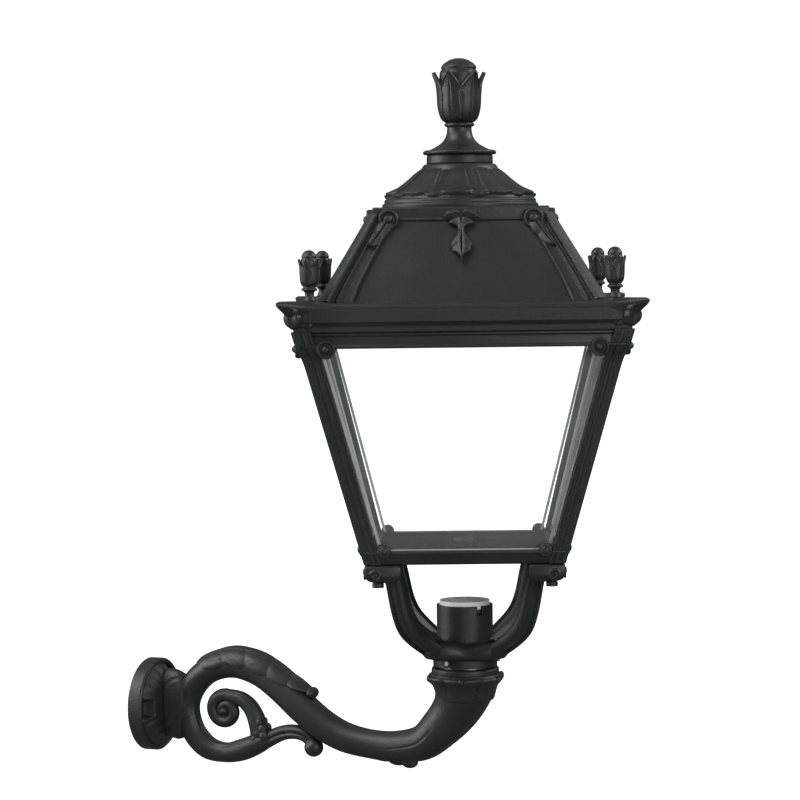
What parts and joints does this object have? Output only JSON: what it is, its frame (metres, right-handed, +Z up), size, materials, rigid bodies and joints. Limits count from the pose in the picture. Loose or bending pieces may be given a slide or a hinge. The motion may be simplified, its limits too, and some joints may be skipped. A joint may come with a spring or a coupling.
{
  "type": "wall-bracket street lantern",
  "caption": "Square tapered street lantern with glazed sides and a hinged roof, standing on the spigot of a scrolled cast wall arm.",
  "frame": {"origin": "centre of the wall plate's back face, on the wall", "axes": "+X leaves the wall along the arm, +Z up, +Y to the left seen from the wall"},
  "size_m": [0.693, 0.54, 0.8494],
  "materials": {
    "casting": "satin dark charcoal paint over cast aluminium, worn lighter along raised edges",
    "steel": "zinc-plated steel",
    "rubber": "matt",
    "glazing_strip": "grey silicone strip",
    "glazing": "clear flat sheet",
    "white_plastic": "moulded, satin",
    "tray_metal": "white-coated sheet",
    "lens": "opal diffuser"
  },
  "bodies": {
    "bracket": {"wall_plate": "casting", "cable_grommet": "rubber", "plate_collar": "casting", "arm_beam": "casting", "volute_scroll": "casting", "volute_disc": "casting", "tendril": "casting", "arm_leaf": "casting", "arm_bead": "casting", "end_leaves": "casting", "end_ring": "casting", "spigot": "steel"},
    "lantern": {"fork_hub": "casting", "fork_leg_1": "casting", "fork_leg_2": "casting", "fork_leg_3": "casting", "fork_leg_4": "casting", "fork_feet": "casting", "fork_bolts": "casting", "set_screws": "steel", "terminal_block": "white_plastic", "lower_frame": "casting", "base_plate": "casting", "base_gland": "rubber", "post_1": "casting", "post_2": "casting", "post_3": "casting", "post_4": "casting", "upper_frame": "casting", "scroll_bosses": "casting", "pane_front": "glazing", "pane_right": "glazing", "pane_rear": "glazing", "pane_left": "glazing", "glazing_beads": "glazing_strip", "roof_seal": "rubber", "frame_knuckles": "casting", "hinge_pin": "steel", "roof_screws": "casting"},
    "roof": {"eave": "casting", "corner_horns": "casting", "corner_finial_1": "casting", "corner_finial_2": "casting", "corner_finial_3": "casting", "corner_finial_4": "casting", "roof_shell": "casting", "hip_ribs": "casting", "hip_scrolls": "casting", "roof_pendants": "casting", "dome": "casting", "neck_band": "casting", "cap_flange": "casting", "finial_stem": "casting", "finial_cup": "casting", "tie_rod": "steel", "tie_nut": "steel", "roof_knuckles": "casting", "gear_tray": "tray_metal", "led_unit": "lens", "driver": "white_plastic"}
  },
  "joints": [
    {"name": "lantern_turn", "type": "hinge", "parent": "bracket", "child": "lantern", "pos_m": [0.423, 0, 0.1], "axis": [0, 0, 1], "range_deg": [-170, 170]},
    {"name": "roof_hinge", "type": "hinge", "parent": "lantern", "child": "roof", "pos_m": [0.34808, 0.18544, 0.47], "axis": [-0.9272, -0.3746, 0], "range_deg": [0, 100]}
  ]
}
